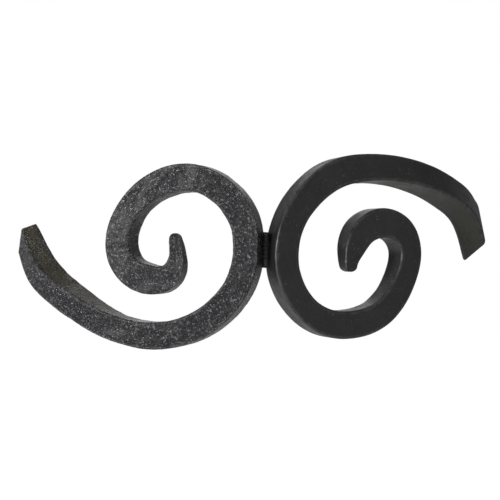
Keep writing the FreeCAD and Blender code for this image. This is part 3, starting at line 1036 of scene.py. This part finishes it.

# The bright fleck colours are painted glints; the hammered bar gets brighter and more of them than the smooth
# one, for the sparkle on its lit faces.
HAMMERED_IRON = ForgedIron(
    name="hammered_iron", dark=(0.006, 0.006, 0.0075, 1.0), light=(0.014, 0.014, 0.017, 1.0),
    glint=(0.21, 0.21, 0.22, 1.0), glint_share=0.66, patch_mm=7.0, pit_mm=1.0, pit_depth_mm=0.70,
    craters=0.7, grain=0.5, roughness=(0.23, 0.36), burnish=0.30, scuffs=0.5,
    rust=(0.085, 0.077, 0.050, 1.0))
SMOOTH_IRON = ForgedIron(
    name="smooth_iron", dark=grey(0.010), light=grey(0.015), glint=grey(0.12), glint_share=0.36,
    patch_mm=9.0, pit_mm=0.9, pit_depth_mm=0.06, craters=0.3, grain=0.3, roughness=(0.38, 0.50),
    burnish=0.16, scuffs=0.25, rust=(0.024, 0.023, 0.016, 1.0))


@dataclass
class ScrollPair:
    """The two forged bars of the dog."""

    left: ForgedScroll = field(default_factory=lambda: ForgedScroll(
        "left_scroll_forged", "left_scroll", "left_iron", -1, LEFT_PATTERN, (0.75, -0.63, 0.20),
        HammerWork(70, (0.05, 0.22), 55.0, 0.045, 1.5, 0.12, 0.30, 11), HAMMERED_IRON))
    right: ForgedScroll = field(default_factory=lambda: ForgedScroll(
        "right_scroll_forged", "right_scroll", "right_iron", 1, RIGHT_PATTERN, (0.68, -0.66, 0.40),
        HammerWork(45, (0.02, 0.09), 90.0, 0.012, 1.8, 0.08, 0.22, 29), SMOOTH_IRON))

    def make(self, effects: Effects) -> None:
        """Build and dress both bars."""
        for scroll in (self.left, self.right):
            scroll.build().finish(scroll.finish.material(effects))


# ---- welds -------------------------------------------------------------------------------------

@dataclass
class WeldBead:
    """A bead of weld along a path, with a ripple for each time the puddle froze.

    The radius swells from nothing at the ends as a power of a parabola, and each ripple lifts it by
    a rounded saw-tooth that lags behind at the bead's sides.
    """

    name: str
    path: np.ndarray
    outward: np.ndarray
    radius_mm: float
    ripple_mm: float = 1.7
    ripple_height: float = 0.06
    ripple_skew: float = 0.7
    uneven: float = 0.12
    uneven_cell_mm: float = 1.7
    swell_power: float = 0.3
    around: int = 28
    seed: int = 3

    def rings(self) -> np.ndarray:
        """Work out the bead's surface.

        Returns:
            The rings of points in millimetres.
        """
        along = distance_along(self.path)
        share = along / along[-1]
        swell = np.clip(4 * share * (1 - share), 0, 1) ** self.swell_power
        forward = unit(np.gradient(self.path, axis=0))
        up = unit(self.outward - forward * np.sum(self.outward * forward, axis=-1, keepdims=True))
        side = np.cross(forward, up)
        angle = full_turn(self.around)[None, :]
        lag = 0.5 * self.radius_mm * (1 - np.cos(angle))
        phase = ((along[:, None] + lag) / self.ripple_mm) % 1.0
        ripple = np.sin(math.pi * phase ** self.ripple_skew)
        uneven = lattice_noise(
            along[:, None] + 0 * angle, 2.0 * np.cos(angle), self.uneven_cell_mm, self.seed)
        wave = 1 + self.ripple_height * (ripple - 0.5) + self.uneven * uneven
        radius = self.radius_mm * swell[:, None] * wave
        offset = up[:, None] * (radius * np.cos(angle))[..., None]
        return self.path[:, None] + offset + side[:, None] * (radius * np.sin(angle))[..., None]


@dataclass
class Welds:
    """The bead in the valley between the scrolls and the two beads that hold the hub."""

    finish: BlackenedWeld = BlackenedWeld("blackened_weld")
    valley_radius_mm: float = 2.2
    valley_length_mm: float = 12.4
    hub_radius_mm: float = 6.8
    hub_bead_mm: float = 1.25
    hub_span: float = math.radians(46.0)
    valley_setback_mm: float = 0.2
    valley_bow_mm: float = 0.25
    valley_steps: int = 90
    hub_steps: int = 110

    def valley(self) -> WeldBead:
        """Lay the bead along the bottom of the front valley.

        Returns:
            The bead.
        """
        steps = np.linspace(-0.5, 0.5, self.valley_steps)
        depth = PLAN.cope - self.valley_radius_mm - self.valley_setback_mm
        depth = depth + self.valley_bow_mm * np.cos(2 * math.pi * steps)
        path = np.stack([0 * steps, depth, self.valley_length_mm * steps], axis=-1)
        outward = np.tile([0.0, -1.0, 0.0], (self.valley_steps, 1))
        return WeldBead("valley_weld", path, outward, self.valley_radius_mm)

    def beside_hub(self, side: int) -> WeldBead:
        """Lay the bead along one side of the hub, on the sloping backs of the bars.

        It follows the hub's circle, and its depth rises with the distance from the pivot at the
        tangent of the tilt.

        Args:
            side: 1 for the right of the hub and -1 for the left.

        Returns:
            The bead.
        """
        angle = np.linspace(-self.hub_span, self.hub_span, self.hub_steps)
        across = self.hub_radius_mm * np.cos(angle)
        depth = PLAN.cope + across * math.tan(PLAN.tilt)
        path = np.stack([side * across, depth, self.hub_radius_mm * np.sin(angle)], axis=-1)
        outward = np.stack([side * np.cos(angle), 0.9 + 0 * angle, np.sin(angle)], axis=-1)
        name = "hub_weld_right" if side > 0 else "hub_weld_left"
        return WeldBead(name, path, outward, self.hub_bead_mm, seed=7 + side)

    def make(self, effects: Effects) -> None:
        """Build and dress all the beads.

        Args:
            effects: The shared node groups.
        """
        material = self.finish.material(effects)
        for bead, node in ((self.valley(), "scroll_weld"), (self.beside_hub(-1), "hub_weld"),
                           (self.beside_hub(1), "hub_weld")):
            points, faces = capped_tube(bead.rings() * MM)
            Piece(bead.name, "dog", "weld_metal", (node,), points, faces).finish(material)


# ---- turned parts ------------------------------------------------------------------------------

BLACK_OXIDE = TurnedMetal(
    "black_oxide", grey(0.05), grey(0.11), (0.34, 0.5), 0.75, 0.22, 0.012, grey(0.03, 0.03))
TURNED_HUB = TurnedMetal(
    "blackened_hub", grey(0.035), grey(0.07), (0.42, 0.6), 0.5, 0.3, 0.02, grey(0.03, 0.05))
OILED_BRONZE = TurnedMetal(
    "oiled_bronze", (0.36, 0.22, 0.10, 1.0), (0.58, 0.38, 0.18, 1.0), (0.26, 0.45), 1.0, 0.16, 0.01,
    (0.16, 0.10, 0.06, 1.0))
SPRING_STEEL = TurnedMetal(
    "blued_spring", (0.16, 0.17, 0.22, 1.0), (0.34, 0.36, 0.40, 1.0), (0.22, 0.36), 1.0, 0.1, 0.004,
    (0.12, 0.10, 0.09, 1.0))
DOWEL_STEEL = TurnedMetal(
    "dowel_steel", grey(0.22), grey(0.42), (0.24, 0.4), 1.0, 0.08, 0.004, grey(0.10, 0.06))


@dataclass
class TurnedRing:
    """A closed ring on the pivot: a rounded rectangle carried round it, waved where asked.

    A point at angle a round the pivot has radius r and height y plus swing times cos(waves a).
    """

    name: str
    body: str
    slot: str
    node: str
    bore_mm: float
    outer_mm: float
    front_mm: float
    thickness_mm: float
    edge_mm: float
    finish: TurnedMetal
    swing_mm: float = 0.0
    waves: int = 0
    around: int = 144
    arris_mm: float = 0.6

    def make(self, effects: Effects) -> None:
        """Build and dress the ring.

        Args:
            effects: The shared node groups.
        """
        back = self.front_mm + self.thickness_mm
        middle = 0.5 * (self.bore_mm + self.outer_mm)
        outline = [(middle, self.front_mm), (self.outer_mm, self.front_mm), (self.outer_mm, back),
                   (self.bore_mm, back), (self.bore_mm, self.front_mm), (middle, self.front_mm)]
        profile = soften(outline, self.edge_mm)[:-1]
        angle = full_turn(self.around)[:, None]
        radius = profile[None, :, 0] + 0 * angle
        height = profile[None, :, 1] + self.swing_mm * np.cos(self.waves * angle)
        rings = revolve(radius, height, angle)
        edge = np.minimum(abs(profile[:, 0] - self.outer_mm), abs(profile[:, 0] - self.bore_mm))
        arris = np.clip(1.0 - edge / self.arris_mm, 0.0, 1.0)[None, :] + 0 * angle
        faces = [grid_faces(self.around, len(profile), 0, True)]
        Piece(self.name, self.body, self.slot, (self.node,), rings.reshape(-1, 3) * MM, faces,
              {"arris": arris.reshape(-1)}).finish(self.finish.material(effects))


@dataclass
class LagPost:
    """Journal, collar, post, wrench hexagon, shank and lag thread as one turned surface."""

    finish: TurnedMetal = BLACK_OXIDE
    journal_mm: float = 4.0
    groove_mm: float = 3.0
    collar_mm: float = 6.8
    collar_thickness_mm: float = 3.0
    post_mm: float = 5.0
    hex_flats_mm: float = 13.0
    hex_height_mm: float = 8.0
    neck_mm: float = 4.4
    washer_mm: float = 1.6
    shank_mm: float = 4.0
    shank_length_mm: float = 20.0
    root_mm: float = 2.9
    crest_mm: float = 3.9
    pitch_mm: float = 2.8
    thread_mm: float = 36.0
    point_mm: float = 8.0
    tip_mm: float = 0.3
    seat_gap_mm: float = 0.05
    groove_from_back_mm: float = 9.0
    groove_half_mm: float = 1.4
    chamfer_mm: float = 0.5
    collar_chamfer_mm: float = 0.4
    hex_chamfer_mm: float = 1.0
    neck_end_mm: float = 0.1
    step_down_mm: float = 1.1
    root_start_mm: float = 1.5
    edge_mm: float = 0.18
    lead_pitches: float = 1.4
    ridge_top: float = 1.15
    ridge_pitches: float = 0.27
    corner_degrees: float = 28.0
    thread_steps: int = 300
    point_steps: int = 60
    around: int = 120

    @property
    def hex_back(self) -> float:
        """Y of the hexagon's back face, on the wall washer."""
        return -self.washer_mm

    def profile(self) -> np.ndarray:
        """Draw the post's outline, from the journal's end to the point.

        Returns:
            The outline as (radius, y) points in millimetres.
        """
        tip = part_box("lag_post")[0].y * 1000
        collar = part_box("wave_washer")[1].y * 1000 + self.seat_gap_mm
        collar_back = collar + self.collar_thickness_mm
        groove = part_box("pivot_hub")[1].y * 1000 - self.groove_from_back_mm
        groove_start, groove_end = groove - self.groove_half_mm, groove + self.groove_half_mm
        hex_front = self.hex_back - self.hex_height_mm
        corner = self.hex_flats_mm / math.sqrt(3)
        cut, collar_cut = self.chamfer_mm, self.collar_chamfer_mm
        thread = self.shank_length_mm
        outline = soften([
            (0.0, tip), (self.journal_mm - cut, tip), (self.journal_mm, tip + cut),
            (self.journal_mm, groove_start), (self.groove_mm, groove_start),
            (self.groove_mm, groove_end), (self.journal_mm, groove_end),
            (self.journal_mm, collar), (self.collar_mm - collar_cut, collar),
            (self.collar_mm, collar + collar_cut), (self.collar_mm, collar_back - collar_cut),
            (self.collar_mm - collar_cut, collar_back), (self.post_mm, collar_back),
            (self.post_mm, hex_front), (corner - self.hex_chamfer_mm, hex_front),
            (corner, hex_front + cut), (corner, self.hex_back - cut),
            (corner - self.hex_chamfer_mm, self.hex_back), (self.neck_mm, self.hex_back),
            (self.neck_mm, -self.neck_end_mm), (self.shank_mm, -self.neck_end_mm), (self.shank_mm, thread),
            (self.root_mm, thread + self.step_down_mm), (self.root_mm, thread + self.root_start_mm),
        ], self.edge_mm, 3)
        end = thread + self.thread_mm
        y = np.linspace(thread + self.root_start_mm + 0.1, end, self.thread_steps)
        spiral = np.stack([self.root_mm + 0 * y, y], axis=-1)
        taper = np.linspace(0, 1, self.point_steps)[1:]
        radius = self.root_mm + (self.tip_mm - self.root_mm) * taper
        point = np.stack([radius, end + self.point_mm * taper], axis=-1)
        return np.concatenate([outline, spiral, point, [[0.0, end + self.point_mm]]])

    def surface(self) -> tuple[np.ndarray, np.ndarray]:
        """Turn the outline round the pivot, and cut the flats and the thread.

        Between the hexagon's ends the radius is the lesser of the outline's and that of the flats,
        half the width across flats over the cosine of the angle from the nearest flat. Along the
        thread a ridge is added, highest where the distance along it in pitches, plus the turn, is
        half way between whole numbers.

        Returns:
            The rings in millimetres, and how near each point is to an edge.
        """
        profile = self.profile()
        angle = full_turn(self.around)[None, :]
        radius = profile[:, :1] + 0 * angle
        y = profile[:, 1:] + 0 * angle
        from_flat = (angle + math.pi / 6) % (math.pi / 3) - math.pi / 6
        flats = 0.5 * self.hex_flats_mm / np.cos(from_flat)
        in_hex = (y > self.hex_back - self.hex_height_mm - 0.01) & (y < self.hex_back + 0.01)
        cut = in_hex & (radius > flats)
        radius = np.where(cut, flats, radius)
        start = self.shank_length_mm + self.lead_pitches * self.pitch_mm
        end = self.shank_length_mm + self.thread_mm
        phase = ((y - start) / self.pitch_mm + angle / (2 * math.pi)) % 1.0
        ridge = np.clip(self.ridge_top - np.abs(phase - 0.5) / self.ridge_pitches, 0.0, 1.0)
        fade = smooth_step((y - start + self.pitch_mm) / self.pitch_mm)
        fade *= smooth_step((end + 0.85 * self.point_mm - y) / (0.8 * self.point_mm))
        radius += (self.crest_mm - self.root_mm) * ridge * fade
        corner = cut & (np.abs(from_flat) > math.radians(self.corner_degrees))
        arris = np.where(ridge * fade > 0.92, 0.9, 0.0) + np.where(corner, 0.9, 0.0)
        return revolve(radius, y, angle)[1:-1], arris[1:-1]

    def make(self, effects: Effects) -> None:
        """Build and dress the post.

        Args:
            effects: The shared node groups.
        """
        rings, arris = self.surface()
        points, faces = capped_tube(rings * MM)
        Piece("lag_post_turned", "post", "post_steel", ("lag_post",), points, faces,
              {"arris": with_poles(arris)}).finish(self.finish.material(effects))


@dataclass
class PivotFittings:
    """The hub, its pins, the washers and the lag post."""

    post: LagPost = field(default_factory=LagPost)
    bore_mm: float = 4.15
    wave_leaf_mm: float = 0.4
    wall_bore_mm: float = 4.5
    wall_outer_mm: float = 8.0

    def rings(self) -> list[TurnedRing]:
        """Size the thrust and wave washers from their CAD nodes, and the wall washer to the post.

        Returns:
            The washers.
        """
        thrust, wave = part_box("thrust_washer"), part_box("wave_washer")
        swing = 0.5 * ((wave[1].y - wave[0].y) * 1000 - self.wave_leaf_mm)
        return [
            TurnedRing("thrust_washer_bronze", "dog", "bronze", "thrust_washer", self.bore_mm,
                       thrust[1].x * 1000, thrust[0].y * 1000, (thrust[1].y - thrust[0].y) * 1000,
                       0.15, OILED_BRONZE),
            TurnedRing("wave_washer_spring", "post", "spring_steel", "wave_washer", self.bore_mm,
                       wave[1].x * 1000, wave[0].y * 1000 + swing, self.wave_leaf_mm, 0.08, SPRING_STEEL,
                       swing, 3),
            TurnedRing("wall_washer_stamped", "post", "washer_steel", "wall_washer", self.wall_bore_mm,
                       self.wall_outer_mm, self.post.hex_back, self.post.washer_mm, 0.3, BLACK_OXIDE),
        ]

    def make(self, effects: Effects) -> None:
        """Build the washers and the post, and dress the hub and pins that CAD made.

        Args:
            effects: The shared node groups.
        """
        self.post.make(effects)
        for ring in self.rings():
            ring.make(effects)
        for node, finish in (("pivot_hub", TURNED_HUB), ("retaining_pins", DOWEL_STEEL)):
            material = finish.material(effects)
            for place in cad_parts[node].material_slots:
                place.material = material
            LOG.info("%s: CAD node dressed in %s", node, finish.name)


# ---- studio ------------------------------------------------------------------------------------

@dataclass(frozen=True)
class SoftBox:
    """A square lamp at a place, aimed at the dog, with its light given as a share of full level."""

    name: str
    place: tuple[float, float, float]
    size: float
    level: float

    def make(self, target: Vector) -> None:
        """Add the lamp; full level lights a white surface that faces it to white.

        Args:
            target: The point that the lamp faces.
        """
        data = bpy.data.lights.new(self.name, "AREA")
        data.size = self.size
        place = Vector(self.place)
        data.energy = self.level * math.pi ** 2 * (place - target).length_squared
        lamp = add_object(self.name, data)
        lamp.location = place
        lamp.visible_camera = False
        lamp.rotation_euler = (target - place).to_track_quat("-Z", "Y").to_euler()


@dataclass
class Studio:
    """Floor, lamps, world and camera."""

    floor_level: float = -0.22
    floor_radius: float = 4.0
    floor_edges: int = 96
    floor_glow: float = 0.94
    glossy_share: float = 0.3
    ambient: float = 0.08
    camera_azimuth: float = math.radians(-4.0)
    lens_mm: float = 79.2
    sensor_mm: float = 36.0
    distance: float = 0.407
    aim_offset: float = -0.0065
    lamps: tuple[SoftBox, ...] = (
        SoftBox("key", (-0.595, -0.539, 0.085), 0.20, 0.88),
        SoftBox("fill", (1.35, -1.25, 0.30), 1.3, 0.05),
        SoftBox("top", (-0.1, -0.35, 1.6), 0.9, 0.12),
        SoftBox("back", (0.0, 1.6, 0.45), 1.0, 0.09),
    )

    def floor(self) -> None:
        """Add a pale disc that takes shadows and shows as near white."""
        angle = full_turn(self.floor_edges)
        ring = np.stack([np.cos(angle), np.sin(angle), 0 * angle], axis=-1) * self.floor_radius
        ring[:, 2] = self.floor_level
        mesh = bpy.data.meshes.new("floor")
        mesh.from_pydata(ring.tolist(), [], [list(range(self.floor_edges))])
        skin = Skin("pale_floor", Roughness=0.9, Specular_IOR_Level=0.1)
        skin.feed(Base_Color=grey(0.86), Emission_Color=grey(1.0),
                  Emission_Strength=self.seen(skin) * self.floor_glow)
        mesh.materials.append(skin.material)
        floor = add_object("floor", mesh)

    def seen(self, graph: Graph) -> Wire:
        """Tell rays that look at a surface from rays that gather light.

        Args:
            graph: The node tree to work in.

        Returns:
            1 for the camera and through glass, the glossy share in reflections, and 0 for light.
        """
        camera, glass, glossy = (graph.out("ShaderNodeLightPath", output=f"Is {kind} Ray")
                                 for kind in ("Camera", "Transmission", "Glossy"))
        straight = graph.math("MAXIMUM", camera, glass)
        return graph.math("MAXIMUM", straight, glossy * self.glossy_share)

    def world(self) -> None:
        """Light the scene plainly all round, and show white where the camera sees past the floor."""
        world = bpy.data.worlds.new("studio")
        world.use_nodes = True
        bpy.context.scene.world = world
        graph = Graph(world.node_tree)
        background = next(node for node in world.node_tree.nodes if node.type == "BACKGROUND")
        graph.put(grey(1.0), background.inputs["Color"])
        graph.put(graph.between(self.seen(graph), 0.0, 1.0, self.ambient, 1.0), background.inputs["Strength"])

    def camera(self) -> None:
        """Aim a long lens level at the dog, a little from its left."""
        data = bpy.data.cameras.new("camera")
        data.sensor_width = self.sensor_mm
        data.lens = self.lens_mm
        camera = add_object("camera", data)
        right = Vector((math.cos(self.camera_azimuth), math.sin(self.camera_azimuth), 0.0))
        back = Vector((math.sin(self.camera_azimuth), -math.cos(self.camera_azimuth), 0.0))
        camera.location = Vector((0.0, PLAN.apex * MM, 0.0)) + right * self.aim_offset + back * self.distance
        camera.rotation_euler = (math.pi / 2, 0.0, self.camera_azimuth)
        bpy.context.scene.camera = camera

    def make(self) -> None:
        """Set up the whole studio."""
        bpy.context.scene.view_settings.view_transform = "Standard"
        self.floor()
        self.world()
        self.camera()
        target = Vector((0.0, PLAN.apex * MM, 0.0))
        for lamp in self.lamps:
            lamp.make(target)


def main() -> None:
    """Build every sub-assembly in order."""
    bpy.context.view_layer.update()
    effects = Effects()
    ScrollPair().make(effects)
    Welds().make(effects)
    PivotFittings().make(effects)
    Studio().make()
    bpy.context.view_layer.update()


if __name__ == "__main__":
    main()
